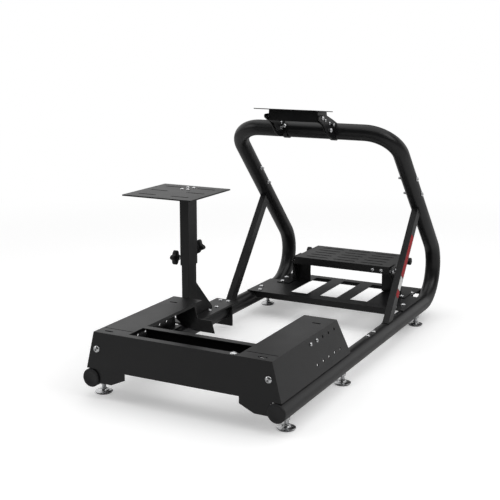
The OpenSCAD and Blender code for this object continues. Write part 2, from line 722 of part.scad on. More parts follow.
// Cradle under the deck plate: a near flange and two side flanges folded from one sheet
module deck_cradle() {
    low = deck_top - sheet;
    color([0.04, 0.04, 0.045]) on_deck() difference() {
        union() {
            translate([-cradle_half, -cradle_near, low - sheet]) cube([2 * cradle_half, 64, sheet]);
            translate([-cradle_half, -cradle_near, -14]) cube([2 * cradle_half, sheet, low + 14]);
            for (side = [-1, 1]) translate([side * (cradle_half - sheet / 2) - sheet / 2, 0, 0])
                rotate([90, 0, 90]) linear_extrude(sheet) polygon([
                    [-cradle_near, low], [-cradle_near, -14], [0, -16], [22, -22], [50, -46],
                    [74, -47], [79, -34], [60, -6], [51, low]]);
        }
        translate([-200, 0, 0]) rotate([0, 90, 0]) cylinder(d = 8.2, h = 400);
        rotate([lock_a, 0, 0]) translate([-200, lock_r, 0]) rotate([0, 90, 0]) cylinder(d = 8.2, h = 400);
        deck_slots();
    }
}

// Four slots for the screws of the wheel base, through the plate and the cradle
module deck_slots() {
    for (x = [-1, 1]) for (y = slot_rows) translate([x * 45, y, deck_top - 20]) slot_cut(50, 7, 40);
}

// Deck plate with the slots that the wheel base bolts to
module deck_plate() {
    color([0.05, 0.05, 0.055]) on_deck() difference() {
        translate([-deck_w / 2, -deck_near, deck_top - sheet]) cube([deck_w, deck_l, sheet]);
        deck_slots();
    }
}

// Pivot and lock bolts of the deck, heads on the outer faces of the brackets
module deck_pivots() {
    outer = deck_gauge / 2 + deck_bracket_t / 2 + 0.3;
    color([0.75, 0.75, 0.76]) for (side = [-1, 1]) for (p = [0, 1])
        on_deck() rotate([p * lock_a, 0, 0]) translate([side * outer, p * lock_r, 0])
            rotate([0, side * 90, 0]) {
                bolt(deck_bracket_t + cradle_gap + sheet + 8, 14, 5, 8);
                translate([0, 0, -deck_bracket_t - 0.6 - cradle_gap + 0.5])
                    cylinder(d = 13, h = cradle_gap - 0.7);
            }
}

side_frame_left();
side_frame_right();
hoop();
hoop_bolts();
strut_left();
strut_right();
end_cap_left();
end_cap_right();
rear_beam();
seat_box_left();
seat_box_right();
seat_box_bolts();
rear_bracket_left();
rear_bracket_right();
foot_rear_left();
foot_rear_right();
foot_mid_left();
foot_mid_right();
foot_front_left();
foot_front_right();
shifter_base();
shifter_stop();
shifter_gusset();
shifter_post();
rail_bolts();
shifter_sleeve();
shifter_top();
shifter_top_bolts();
knob_side();
knob_front();
pedal_tray();
tray_bolts();
pedal_bracket_left();
pedal_bracket_right();
pedal_plate();
pedal_plate_bolts();
pedal_pivots();
pedal_knob_left();
pedal_knob_right();
deck_bracket_left();
deck_bracket_right();
deck_strap_bolts();
deck_pivots();
deck_cradle();
deck_plate();
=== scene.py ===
# %% [markdown]
# # A sim racing cockpit, dressed for the camera
# The cockpit is a frame of bent round tube with a leaning hoop for the wheel deck, two sheet
# metal seat boxes, a shifter stand on one rail and a pedal tray. The solids already carry the
# main shapes. Blender adds what a close look needs: softened edges, screws with sockets and
# washers, turned feet, moulded knobs, weld beads and finishes that vary over the surface.

# %% Load the frame
import bpy, bmesh, json, math
from mathutils import Matrix, Vector


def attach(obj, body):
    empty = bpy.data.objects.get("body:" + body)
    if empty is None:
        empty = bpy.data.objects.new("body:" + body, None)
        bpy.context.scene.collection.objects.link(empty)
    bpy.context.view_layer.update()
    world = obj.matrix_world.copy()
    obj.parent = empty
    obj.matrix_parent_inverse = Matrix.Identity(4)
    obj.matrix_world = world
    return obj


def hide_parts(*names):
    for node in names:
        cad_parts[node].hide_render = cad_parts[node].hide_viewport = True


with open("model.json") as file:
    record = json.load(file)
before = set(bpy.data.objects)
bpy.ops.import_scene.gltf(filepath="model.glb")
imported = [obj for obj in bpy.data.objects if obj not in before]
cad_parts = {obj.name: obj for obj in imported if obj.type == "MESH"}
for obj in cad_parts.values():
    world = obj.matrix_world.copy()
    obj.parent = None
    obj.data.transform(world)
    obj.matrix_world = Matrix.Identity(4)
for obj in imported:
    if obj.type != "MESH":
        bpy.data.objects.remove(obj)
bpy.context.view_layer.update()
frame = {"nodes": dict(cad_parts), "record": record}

# %% [markdown]
# ## Camera
# The view is from behind the driver's right shoulder through a long lens. Upright edges stay
# nearly upright, which takes a lens that is shifted down. A full shift would carry over to every
# other view and cut the cockpit off there, so most of it is done by pitching the camera down.

# %% Camera
eye = bpy.data.cameras.new("eye")
eye.sensor_width, eye.lens = 36, 72.34
eye.shift_x, eye.shift_y = -0.013, -0.09
camera = bpy.data.objects.new("camera", eye)
camera.location = (1.2772, -2.0393, 0.9711)
camera.rotation_euler = (math.radians(79.86), 0, math.radians(27.44))
bpy.context.scene.collection.objects.link(camera)
bpy.context.scene.camera = camera
bpy.context.scene.view_settings.view_transform = "Standard"
print("lens", eye.lens, "mm")

# %% [markdown]
# ## Nodes
# The sky, the floor and every finish are node trees. Placing and linking nodes one by one takes
# many lines, so a short function adds a node and links or sets its inputs in one go.

# %% Node helper
def new_tree(owner):
    """An empty node tree on a material or a world, and a maker of linked nodes."""
    owner.use_nodes = True
    tree = owner.node_tree
    tree.nodes.clear()

    def add(kind, inputs=None, **settings):
        node = tree.nodes.new(kind)
        for key, value in settings.items():
            setattr(node, key, value)
        for key, value in (inputs or {}).items():
            if isinstance(value, bpy.types.NodeSocket):
                tree.links.new(value, node.inputs[key])
            else:
                node.inputs[key].default_value = value
        return node

    return add

# %% [markdown]
# ## Sky
# Black powder coat shows little colour of its own: what the eye reads is what it reflects. A sky
# that is white all round would turn the black paint grey. So the camera sees white, the lighting
# sees a dim even sky, and reflections see a dark sky with two soft bright patches, as black
# painted goods are lit in a studio.

# %% Sky
def bright_patch(add, look, middle, rim, core, dim, bright):
    """The brightness of a soft round patch of sky, from the cosines of its rim and its core."""
    facing = add("ShaderNodeVectorMath", {0: look, 1: middle}, operation="DOT_PRODUCT")
    patch = add("ShaderNodeMapRange", {"Value": facing.outputs["Value"], "From Min": rim,
                                       "From Max": core, "To Min": dim, "To Max": bright},
                interpolation_type="SMOOTHSTEP")
    return patch.outputs[0]

even_light, white = 0.40, 1.0
sky = bpy.data.worlds.new("studio_sky")
bpy.context.scene.world = sky
add = new_tree(sky)
ray = add("ShaderNodeLightPath").outputs
look = add("ShaderNodeTexCoord").outputs["Generated"]
left_patch = bright_patch(add, look, (-0.88, 0.40, 0.26), 0.55, 0.98, 0.04, 0.80)
right_patch = bright_patch(add, look, (0.50, 0.86, 0.12), 0.72, 1.0, 0.0, 0.80)
both = add("ShaderNodeMath", {0: left_patch, 1: right_patch}, operation="MAXIMUM")
lit = add("ShaderNodeMix", {0: ray["Is Glossy Ray"], 2: even_light, 3: both.outputs[0]},
          data_type="FLOAT")
shown = add("ShaderNodeMath", {0: ray["Is Camera Ray"], 1: ray["Is Transmission Ray"]},
            operation="MAXIMUM")
level = add("ShaderNodeMix", {0: shown.outputs[0], 2: lit.outputs[0], 3: white},
            data_type="FLOAT")
glow = add("ShaderNodeBackground", {"Color": (1, 1, 1, 1), "Strength": level.outputs[0]})
add("ShaderNodeOutputWorld", {"Surface": glow.outputs[0]})
print("sky:", even_light, "for light,", white, "for the camera")

# %% [markdown]
# ## Soft boxes
# Three square lamps shape the cockpit. The large one overhead makes the soft shadow on the floor,
# and the small ones at the sides lift the flanks of the boxes. A square area lamp is the plain
# way to make a photographer's soft box, and its size sets how soft the shadow is.

# %% Soft boxes
def soft_box(name, size, power, spot, target=(0, 0.6, 0.2)):
    """A square area lamp that looks at the target."""
    lamp = bpy.data.lights.new(name, "AREA")
    lamp.shape, lamp.size, lamp.energy = "SQUARE", size, power
    holder = bpy.data.objects.new(name, lamp)
    holder.location = spot
    aim = Vector(target) - Vector(spot)
    holder.rotation_euler = aim.to_track_quat("-Z", "Y").to_euler()
    bpy.context.scene.collection.objects.link(holder)

soft_box("over_box", 4.4, 62, (0.2, 0.7, 3.2))
soft_box("right_box", 1.6, 18, (2.7, 0.2, 2.4))
soft_box("left_box", 1.6, 12, (-2.6, -1.2, 1.8))
print("lamps:", len(bpy.data.lights))

# %% [markdown]
# ## Floor
# The floor is pale paper. Plain paper would render as light grey and show an edge against the
# white background. So the camera sees a raised tone, and a share of the floor's own white light
# that is about a third under the cockpit, where the shadow has to stay, and full further out.
# Reflections see a slightly darker paper, which keeps the undersides of the tubes black.

# %% Floor
paper_tone, mirrored_tone, seen_tone = 0.78, 0.57, 1.28
near_share, far_share, fade_from, fade_to = 0.32, 1.0, 1.1, 3.0
paper = bpy.data.materials.new("paper_floor")
add = new_tree(paper)
ray = add("ShaderNodeLightPath").outputs
place = add("ShaderNodeTexCoord").outputs["Object"]
away = add("ShaderNodeVectorMath", {0: place, 1: (0, 0.6, 0)}, operation="DISTANCE")
fade = add("ShaderNodeMapRange", {"Value": away.outputs["Value"], "From Min": fade_from,
                                  "From Max": fade_to}, interpolation_type="SMOOTHSTEP")
mirrored = add("ShaderNodeMapRange", {"Value": ray["Is Glossy Ray"], "To Min": paper_tone,
                                      "To Max": mirrored_tone})
tone = add("ShaderNodeMix", {0: ray["Is Camera Ray"], 2: mirrored.outputs[0], 3: seen_tone},
           data_type="FLOAT")
matt = add("ShaderNodeBsdfDiffuse", {"Color": tone.outputs[0]})
own = add("ShaderNodeEmission", {"Color": (1, 1, 1, 1), "Strength": 1.0})
share = add("ShaderNodeMix", {0: fade.outputs[0], 2: near_share, 3: far_share},
            data_type="FLOAT")
seen = add("ShaderNodeMath", {0: share.outputs[0], 1: ray["Is Camera Ray"]},
           operation="MULTIPLY")
mixed = add("ShaderNodeMixShader", {0: seen.outputs[0], 1: matt.outputs[0], 2: own.outputs[0]})
add("ShaderNodeOutputMaterial", {"Surface": mixed.outputs[0]})
bm = bmesh.new()
bmesh.ops.create_circle(bm, cap_ends=True, segments=96, radius=9)
floor_mesh = bpy.data.meshes.new("floor")
bm.to_mesh(floor_mesh); bm.free()
floor_mesh.materials.append(paper)
floor = bpy.data.objects.new("floor", floor_mesh)
bpy.context.scene.collection.objects.link(floor)
print("floor 18 m across")

# %% [markdown]
# ## Finishes
# Powder coat is baked paint: deep black, with a fine orange peel that breaks up reflections, and
# slightly uneven gloss. Zinc, moulded plastic, rubber and the stripe's paint differ only in
# colour, gloss and grain. So one function makes them all, from noise in object coordinates, which
# neither slides nor stretches.

# %% Finish helper
def finish(name, dark, light, rough, peel, peel_size, metal=0.0, gloss=0.5, cloud=12.0):
    """Clouded colour, uneven roughness and a fine bump, all in object coordinates."""
    made = bpy.data.materials.new(name)
    add = new_tree(made)
    place = add("ShaderNodeTexCoord").outputs["Object"]
    broad = add("ShaderNodeTexNoise", {"Vector": place, "Scale": cloud, "Detail": 4.0,
                                       "Roughness": 0.6})
    fine = add("ShaderNodeTexNoise", {"Vector": place, "Scale": 1 / peel_size, "Detail": 3.0,
                                      "Roughness": 0.55})
    both = add("ShaderNodeMix", {0: 0.35, 2: broad.outputs[0], 3: fine.outputs[0]},
               data_type="FLOAT")
    tone = add("ShaderNodeValToRGB", {0: both.outputs[0]})
    stops = tone.color_ramp.elements
    stops[0].position, stops[1].position = 0.3, 0.7
    stops[0].color, stops[1].color = (*dark, 1), (*light, 1)
    dull = add("ShaderNodeMapRange", {"Value": both.outputs[0], "From Min": 0.3,
                                      "From Max": 0.7, "To Min": rough[0], "To Max": rough[1]})
    bump = add("ShaderNodeBump", {"Height": fine.outputs[0], "Strength": peel,
                                  "Distance": peel_size * 0.35})
    skin = add("ShaderNodeBsdfPrincipled", {
        "Base Color": tone.outputs[0], "Roughness": dull.outputs[0],
        "Normal": bump.outputs[0], "Metallic": metal, "Specular IOR Level": gloss})
    add("ShaderNodeOutputMaterial", {"Surface": skin.outputs[0]})
    return made

# %% The finishes
powder = finish("black_powder_coat", (0.0045, 0.0045, 0.005), (0.009, 0.009, 0.0095),
                (0.28, 0.38), 0.22, 0.0009, gloss=0.42)
zinc = finish("bright_zinc", (0.66, 0.67, 0.69), (0.84, 0.84, 0.84), (0.18, 0.32), 0.10,
              0.0012, metal=1.0, cloud=160.0)
moulded = finish("moulded_black", (0.010, 0.010, 0.011), (0.018, 0.018, 0.019),
                 (0.42, 0.58), 0.25, 0.0006, gloss=0.4)
pad_rubber = finish("pad_rubber", (0.012, 0.012, 0.012), (0.022, 0.022, 0.022),
                    (0.7, 0.85), 0.3, 0.0008, gloss=0.25)
red_paint = finish("stripe_red", (0.34, 0.006, 0.010), (0.42, 0.010, 0.014),
                   (0.45, 0.55), 0.08, 0.0009, gloss=0.25)
white_paint = finish("stripe_white", (0.66, 0.66, 0.65), (0.74, 0.74, 0.73),
                     (0.45, 0.55), 0.08, 0.0009, gloss=0.25)
print("finishes:", [m.name for m in bpy.data.materials])

# %% [markdown]
# ## Softened solids
# No cut or folded edge is knife sharp. Each solid is welded, its flat triangles are joined, and
# its edges get a small rounded bevel, so that every edge catches a thin line of light. Live
# modifiers do it, because the meshes of the solids stay as they are.

# %% Soften every solid
looks = {"black_powder_coat": powder, "zinc_bolts": zinc, "zinc_feet": zinc,
         "black_plastic": moulded}
slot_of = {s["node"]: s["material_slot"] for s in frame["record"]["subparts"]}
tube_edge, sheet_edge = 0.0006, 0.0008

def soften(thing, width):
    """Live modifiers that round the edges of a solid without touching its mesh."""
    weld = thing.modifiers.new("weld", "WELD")
    weld.merge_threshold = 0.00001
    flat = thing.modifiers.new("join_flats", "DECIMATE")
    flat.decimate_type, flat.angle_limit = "DISSOLVE", math.radians(0.6)
    bevel = thing.modifiers.new("edge", "BEVEL")
    bevel.width, bevel.segments, bevel.limit_method = width, 2, "ANGLE"
    bevel.angle_limit, bevel.harden_normals = math.radians(30), False
    even = thing.modifiers.new("even_normals", "WEIGHTED_NORMAL")
    even.keep_sharp = True
    for face in thing.data.polygons:
        face.use_smooth = True

for name, thing in frame["nodes"].items():
    thing.data.materials.clear()
    thing.data.materials.append(looks[slot_of[name]])
    soften(thing, tube_edge if "side_frame" in name or name == "hoop" else sheet_edge)
print("softened", len(frame["nodes"]), "solids")

# %% [markdown]
# ## Small parts
# Screws, feet, plugs and grips are turned or moulded. Turned parts come from one profile spun
# about its axis, as on a lathe. A second helper stands a finished shape on its seat, a third
# joins shapes, and the last makes an object that rides with its body.

# %% Shape helpers
def turned(bm, profile, steps=32, closed=False):
    """Spins a chain of (radius, height) points, in millimetres, about the Z axis."""
    chain = [bm.verts.new((r / 1000, 0, z / 1000)) for r, z in profile]
    lines = [bm.edges.new(pair) for pair in zip(chain, chain[1:])]
    if closed:
        lines.append(bm.edges.new((chain[-1], chain[0])))
    bmesh.ops.spin(bm, geom=chain + lines, cent=(0, 0, 0), axis=(0, 0, 1), angle=2 * math.pi,
                   steps=steps, use_merge=True)
    bmesh.ops.remove_doubles(bm, verts=bm.verts, dist=0.000002)
    return bm

def stood(part, spot, way, spin=0.0):
    """A copy of a shape stood on a spot, in millimetres, with its Z axis along the way."""
    turn = Vector(way).to_track_quat("Z", "Y").to_matrix().to_4x4()
    turn = turn @ Matrix.Rotation(math.radians(spin), 4, "Z")
    copy = part.copy()
    bmesh.ops.transform(copy, matrix=Matrix.Translation(Vector(spot) / 1000) @ turn,
                        verts=copy.verts)
    return copy

def joined(parts):
    """One bmesh that holds all the given ones."""
    whole = bmesh.new()
    for part in parts:
        lump = bpy.data.meshes.new("lump")
        part.to_mesh(lump); part.free()
        whole.from_mesh(lump)
        bpy.data.meshes.remove(lump)
    return whole

def piece(name, bm, material, body, replaces=(), angle=35):
    """Makes the object: normals out, smooth faces with sharp edges kept, riding on its body."""
    bmesh.ops.recalc_face_normals(bm, faces=bm.faces)
    mesh = bpy.data.meshes.new(name)
    bm.to_mesh(mesh); bm.free()
    mesh.materials.append(material)
    mesh.shade_smooth()
    mesh.set_sharp_from_angle(angle=math.radians(angle))
    thing = bpy.data.objects.new(name, mesh)
    bpy.context.scene.collection.objects.link(thing)
    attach(thing, body)
    if replaces:
        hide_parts(*replaces)
    print(name, len(mesh.polygons), "faces")

# %% [markdown]
# ## Shared places
# The pieces sit on the solids, so they use the same sizes: the rails' and the hoop's tube, the
# leaning line of the hoop, the deck's pivot and the tops of tray and stand. They are named once
# here, in millimetres, and the pieces take their seats from them.

# %% Numbers shared with the solids
sides = ((-1, "left"), (1, "right"))
up = (0, 0, 1)
rail_x, tube_r, rail_z, crown = 272, 25, 58, 83.2
lean = math.radians(43.7)
lean_y, lean_z = 1091 + 112 * math.cos(lean), 170 + 112 * math.sin(lean)
bar_y, bar_z = 784.4, 653
pivot = Vector((0, bar_y - 117, bar_z + 50))
seat_z, box_half = 186, 260
flare = 25 / (seat_z - crown)
sheet = 2.5
tray_top, base_top = crown + sheet, crown + 6
stand_y, stand_base_y = 500, 445
post_half_x, post_half_y = 12.8, 22.8
side_knob_z, front_knob_z = 274, 302
print("rails", 2 * rail_x, "mm apart, crossbar", bar_z, "mm up")

# %% [markdown]
# ## Screws
# The frame is held by zinc plated button head screws: a low dome with a hexagon socket. The socket
# could be cut with a boolean. Here it starts as a round hole of the spun profile, and its ring of
# points is then pushed out to the flats of a hexagon, which keeps the faces few and clean. Thick
# washers stand in where a screw bridges the gap between two plates.

# %% Button head and washer
def button_head(d, h, key):
    """A button head on z = 0 with a hexagon socket of the given width across flats."""
    hole = key / 2 / math.cos(math.radians(30))
    dome = [(d / 2 * math.cos(t), h * (0.18 + 0.82 * math.sin(t)))
            for t in (0, 0.25, 0.5, 0.75, 1.0, 1.2)]
    dome = [p for p in dome if p[0] > hole + 0.5]
    socket = [(hole + 0.35, h), (hole, h - 0.25), (hole, h * 0.35), (0, h * 0.25)]
    shape = turned(bmesh.new(), [(0, 0), (d / 2 - 0.3, 0), (d / 2, 0.3)] + dome + socket, 36)
    for v in shape.verts:
        r = math.hypot(v.co.x, v.co.y) * 1000
        if abs(r - hole) < 0.05 and v.co.z > 0:
            turn = math.degrees(math.atan2(v.co.y, v.co.x)) % 60 - 30
            k = key / 2 / math.cos(math.radians(turn)) / r
            v.co.x, v.co.y = v.co.x * k, v.co.y * k
    return shape

def washer(hole, d, t=1.6):
    """A flat washer from z = 0 to z = t, with its outer rims chamfered."""
    return turned(bmesh.new(), [(hole / 2, 0), (d / 2 - 0.3, 0), (d / 2, 0.3),
                                (d / 2, t - 0.3), (d / 2 - 0.3, t), (hole / 2, t)],
                  closed=True)

# %% Thread and nut
def thread(d, low, high, pitch=1.25):
    """A threaded shank as a stack of ridges. A true helix would not show at this size."""
    root = d / 2 - 0.7
    ridges = [(0, low)]
    z = low
    while z < high - pitch:
        ridges += [(root, z), (root, z + pitch * 0.25), (d / 2, z + pitch * 0.55),
                   (d / 2, z + pitch * 0.75)]
        z += pitch
    return turned(bmesh.new(), ridges + [(root, high), (0, high)], 20)

def nut_shape(across, h, hole):
    """A hexagon nut on z = 0 with chamfered corners and a bore."""
    bore, flat = hole / 2, across / 2
    shape = turned(bmesh.new(), [(bore, 0.5), (bore + 0.5, 0), (flat, 0), (flat + 0.6, 0.7),
                                 (flat + 0.6, h - 0.7), (flat, h), (bore + 0.5, h),
                                 (bore, h - 0.5)], 36, closed=True)
    for v in shape.verts:
        r = math.hypot(v.co.x, v.co.y) * 1000
        if r > flat + 0.3:
            turn = math.degrees(math.atan2(v.co.y, v.co.x)) % 60 - 30
            k = flat / math.cos(math.radians(turn)) / r
            v.co.x, v.co.y = v.co.x * k, v.co.y * k
    return shape

def screw(spot, way, head, h, key, shank=0.0, d=8, spin=10):
    """A button head screw seated at the spot, with a threaded shank if it has a length."""
    parts = [stood(button_head(head, h, key), spot, way, spin)]
    if shank:
        parts.append(stood(thread(d - 0.1, -shank, 0.5), spot, way))
    return parts

# %% [markdown]
# ## Screws of the hoop
# Each leg of the hoop stands on the lower leg of a side frame, and one screw goes through either
# tube near the seam. Their heads sit on the outer side, and a low head closes the bore on the
# inner side. Places along the leaning leg come from one function, so both stay in line with it.

# %% Joint screws of the hoop
def up_leg(x, s):
    """A point on the axis of a leaning leg, s along it from the front bend."""
    return Vector((x, lean_y - math.sin(lean) * s, lean_z + math.cos(lean) * s))

parts = []
for side, _ in sides:
    for s in (274, 350):
        outer = up_leg(side * (rail_x + tube_r + 0.3), s)
        inner = up_leg(side * (rail_x - tube_r - 0.3), s)
        parts += screw(outer, (side, 0, 0), 14, 4.4, 5, shank=60, spin=s)
        parts.append(stood(button_head(12, 2.4, 4), inner, (-side, 0, 0), s))
piece("hoop_screws", joined(parts), zinc, "frame", ["hoop_bolts"])

# %% [markdown]
# ## Screws of the seat boxes
# Two large screws show near the ends of the rear face, one stands on top of it, and two small ones
# sit in the upper row of holes of each flared side. Those lean with the sheet, so the way they
# point has the flare in it.

# %% Screws of the seat boxes
parts = []
row_z = 168.1
row_x = box_half + 18 * flare + 0.3
for side, _ in sides:
    parts += screw((side * 251, 0, 140), (0, -1, 0), 19, 6, 6, shank=12, spin=25)
    for y in (213, 250.5):
        parts += screw((side * row_x, y, row_z), (side, 0, flare), 11, 3.4, 4, shank=9, d=6.4)
parts += screw((150, 10, seat_z), up, 18, 5, 5, shank=12)
piece("seat_box_screws", joined(parts), zinc, "frame", ["seat_box_bolts"])

# %% [markdown]
# ## Screws on the rails and the tray
# The stand's base is screwed to the left rail, and two screws sit on the right rail before the
# strut. The pedal tray has three screws at each end and one through each pedal bracket's foot.
# Most sockets are turned differently, as screws are never left all at the same angle.

# %% Screws on the rails
parts = []
for x in (-14, 14):
    for y in (153, 198, 273):
        parts += screw((-rail_x + x, stand_base_y + y, base_top), up, 14, 5, 5, shank=6.5, spin=y)
for y in (598, 643):
    parts += screw((rail_x, y, crown + 0.1), up, 13, 5, 5, spin=y)
piece("rail_screws", joined(parts), zinc, "frame", ["rail_bolts"])

# %% Screws of the pedal tray
parts = []
for side, _ in sides:
    for x, y in ((240, 911), (256, 952)):
        parts += screw((side * x, y, tray_top), up, 15, 5, 5, shank=3, spin=y)
    parts += screw((side * 234, 1105, tray_top), up, 15, 5, 5, shank=12)
    parts += screw((side * 219, 1042, tray_top + sheet), up, 15, 5, 5, shank=14)
piece("tray_screws", joined(parts), zinc, "frame", ["tray_bolts"])

# %% [markdown]
# ## Screws of the pedal plate
# Two small screws show in the plate's near fold. A pivot and a clamping screw go through each
# end, with a spacer between plate and bracket. All of them ride with the plate when it tilts.

# %% Screws of the pedal plate
parts = []
for x in (115, 145):
    parts += screw((x, 1042, 166), (0, -1, 0), 12, 4, 4, shank=9, d=6)
piece("pedal_plate_screws", joined(parts), zinc, "pedal_deck",
      ["pedal_plate_bolts"])
parts = []
for side, _ in sides:
    for y in (1053, 1083):
        parts += screw((side * 181.8, y, 163), (side, 0, 0), 13, 4, 5, shank=16)
        parts.append(stood(washer(8.2, 13, 5.4), (side * 173.3, y, 163), (side, 0, 0)))
piece("pedal_pivot_screws", joined(parts), zinc, "pedal_deck", ["pedal_pivots"])

# %% [markdown]
# ## Screws of the wheel deck
# The deck turns on a pivot at each side and is locked by a second screw on an arc around it, so
# one formula places both. The brackets grip the crossbar with a strap and its screw. A row of
# small screws shows on each bracket, with low heads on the inner side.

# %% Pivots of the deck
parts = []
for side, _ in sides:
    for r, a in ((0, 0), (75, -34)):
        y = pivot.y + r * math.cos(math.radians(a))
        z = pivot.z + r * math.sin(math.radians(a))
        parts += screw((side * 90.3, y, z), (side, 0, 0), 14, 5, 5, shank=20, spin=a)
        parts.append(stood(washer(8.2, 13, 4.8), (side * 80.8, y, z), (side, 0, 0)))
piece("deck_pivot_screws", joined(parts), zinc, "wheel_deck", ["deck_pivots"])

# %% Straps and brackets of the deck
parts = []
strap_lean = math.radians(66)
strap_way = Vector((0, -math.sin(strap_lean), math.cos(strap_lean)))
for side, _ in sides:
    seat = Vector((side * 78, bar_y, bar_z)) + strap_way * 28.75
    parts += screw(seat, strap_way, 13, 5, 5, spin=12)
piece("deck_strap_screws", joined(parts), zinc, "frame", ["deck_strap_bolts"])
for side, hand in sides:
    parts = []
    for y, z in ((22, -9), (53, -20), (86, -28)):
        outer = (side * 90.2, pivot.y + y, pivot.z + z)
        inner = (side * 85.8, pivot.y + y, pivot.z + z)
        parts += screw(outer, (side, 0, 0), 10, 3, 3, shank=4, d=6, spin=y)
        parts.append(stood(button_head(10, 2.0, 3), inner, (-side, 0, 0), y))
    piece(f"deck_bracket_screws_{hand}", joined(parts), zinc, "frame")

# %% [markdown]
# ## Screws of the shifter plate
# Four screws in a small square hold the plate on top of the post. They move up and down with it.

# %% Screws of the shifter plate
parts = []
for x in (-10, 10):
    for y in (483, 517):
        parts += screw((-rail_x + x, y, 490), up, 12, 4, 4, spin=x + y)
piece("shifter_plate_screws", joined(parts), zinc, "shifter_slide",
      ["shifter_top_bolts"])

# %% [markdown]
# ## Levelling feet
# Each foot is a turned steel cup on a rubber pad, with a threaded stud that goes up into the rail
# and a nut that locks it. One profile makes the cup, because a lathe makes the real one, and the
# stud and the nut come from the screw helpers.

# %% Feet
cup = [(0, 2), (22, 2), (23.5, 2.5), (24, 3.5), (23.6, 4.8), (22, 5.6), (16, 6.2), (11.5, 7.4),
       (9.4, 9.6), (8.8, 13), (7.4, 14), (0, 14)]
pad = [(0, 0), (20.5, 0), (21.8, 0.7), (22, 2.4), (0, 2.4)]
for side, hand in sides:
    for place, y in (("rear", 55), ("mid", 409), ("front", 1031)):
        spot = Vector((side * rail_x, y, 0))
        nut_spot = spot + Vector((0, 0, 24.7))
        foot = f"foot_{place}_{hand}"
        parts = [stood(turned(bmesh.new(), cup, 48), spot, up),
                 stood(thread(11.8, 13.5, 32.6, 1.75), spot, up),
                 stood(nut_shape(19, 8, 11.4), nut_spot, up, y)]
        piece(foot + "_steel", joined(parts), zinc, "frame", [foot])
        piece(foot + "_pad", stood(turned(bmesh.new(), pad, 48), spot, up), pad_rubber,
              "frame")

# %% [markdown]
# ## Clamping knobs
# The two star grips are moulded round a steel screw. A circle pushed in and out four times gives
# the lobes; extruding it, rounding both rims and sinking a dish in its face makes the grip. That
# gives even, smooth lobes, which four joined cylinders would not.

# %% Star grips
def star_grip(low, high, reach, waist):
    """A four-lobed grip between two heights, in millimetres."""
    bm = bmesh.new()
    ring = bmesh.ops.create_circle(bm, cap_ends=True, segments=72, radius=0.001)["verts"]
    for v in ring:
        turn = math.atan2(v.co.y, v.co.x)
        r = ((reach + waist) / 2 + (reach - waist) / 2 * math.cos(4 * turn)) / 1000
        v.co.x, v.co.y, v.co.z = r * math.cos(turn), r * math.sin(turn), low / 1000
    face = bm.faces[:][0]
    top = bmesh.ops.extrude_face_region(bm, geom=[face])
    verts = [g for g in top["geom"] if isinstance(g, bmesh.types.BMVert)]
    bmesh.ops.translate(bm, vec=(0, 0, (high - low) / 1000), verts=verts)
    bmesh.ops.recalc_face_normals(bm, faces=bm.faces)
    rims = [e for e in bm.edges if abs(e.verts[0].co.z - e.verts[1].co.z) < 1e-6]
    bmesh.ops.bevel(bm, geom=rims, offset=0.003, offset_type="OFFSET", affect="EDGES",
                    segments=4, profile=0.5, material=-1)
    cap = max(bm.faces, key=lambda f: f.calc_center_median().z + (0.1 if len(f.verts) > 20 else 0))
    bmesh.ops.inset_region(bm, faces=[cap], thickness=0.0035, depth=0.0)
    bmesh.ops.inset_region(bm, faces=[cap], thickness=0.0008, depth=-0.0008)
    return bm

neck_line = [(0, 21), (6.8, 21), (7.5, 22), (7.5, 27), (11, 29), (0, 29)]
for name, node, body, spot, way in (
        ("side_grip", "knob_side", "side_knob",
         (-rail_x - post_half_x, stand_y, side_knob_z), (-1, 0, 0)),
        ("front_grip", "knob_front", "front_knob",
         (-rail_x, stand_y + post_half_y, front_knob_z), (0, 1, 0))):
    neck = turned(bmesh.new(), neck_line)
    parts = [stood(star_grip(27, 43, 22, 13.5), spot, way, 8), stood(neck, spot, way)]
    piece(name, joined(parts), moulded, body, [node])
    piece(name + "_screw", stood(thread(7.8, 0, 22), spot, way), zinc, body)

# %% [markdown]
# ## Hand screws of the pedal plate
# A small round grip sticks out at each end of the pedal plate. It is spun as a plain knob, and
# its rim points are then pulled in along ten soft waves, which gives the flutes for the fingers.

# %% Fluted grips
def fluted(low, high, reach, flutes=10):
    """A round grip with shallow flutes all round and a domed face."""
    shape = turned(bmesh.new(), [(0, low), (reach - 3, low), (reach - 1, low + 1.2),
                                 (reach, low + 2.5), (reach, high - 2.5),
                                 (reach - 1, high - 1), (reach - 3, high - 0.3),
                                 (reach - 6, high), (0, high)], 120)
    for v in shape.verts:
        r = math.hypot(v.co.x, v.co.y)
        if r * 1000 > reach - 1.5:
            wave = math.cos(flutes * math.atan2(v.co.y, v.co.x))
            k = 1 - 0.0009 / r * max(0.0, wave)
            v.co.x, v.co.y = v.co.x * k, v.co.y * k
    return shape

small_neck = [(0, 0.4), (6.2, 0.4), (7, 1.2), (7, 8), (9, 8.6), (0, 8.6)]
for side, hand in sides:
    spot, way = (side * 173, 1200, 170), (side, 0, 0)
    neck = turned(bmesh.new(), small_neck)
    parts = [stood(fluted(8, 23, 12.5), spot, way), stood(neck, spot, way)]
    piece(f"pedal_grip_{hand}", joined(parts), moulded, "pedal_deck",
          [f"pedal_knob_{hand}"])
    piece(f"pedal_grip_screw_{hand}", stood(thread(7.8, -10, 4), spot, way), zinc,
          "pedal_deck")

# %% [markdown]
# ## End caps
# The rear ends of the rails are closed by plastic plugs with a rounded rim and a shallow dish.
# The plug is one spun profile too, dish, rim and the shank inside the tube together.

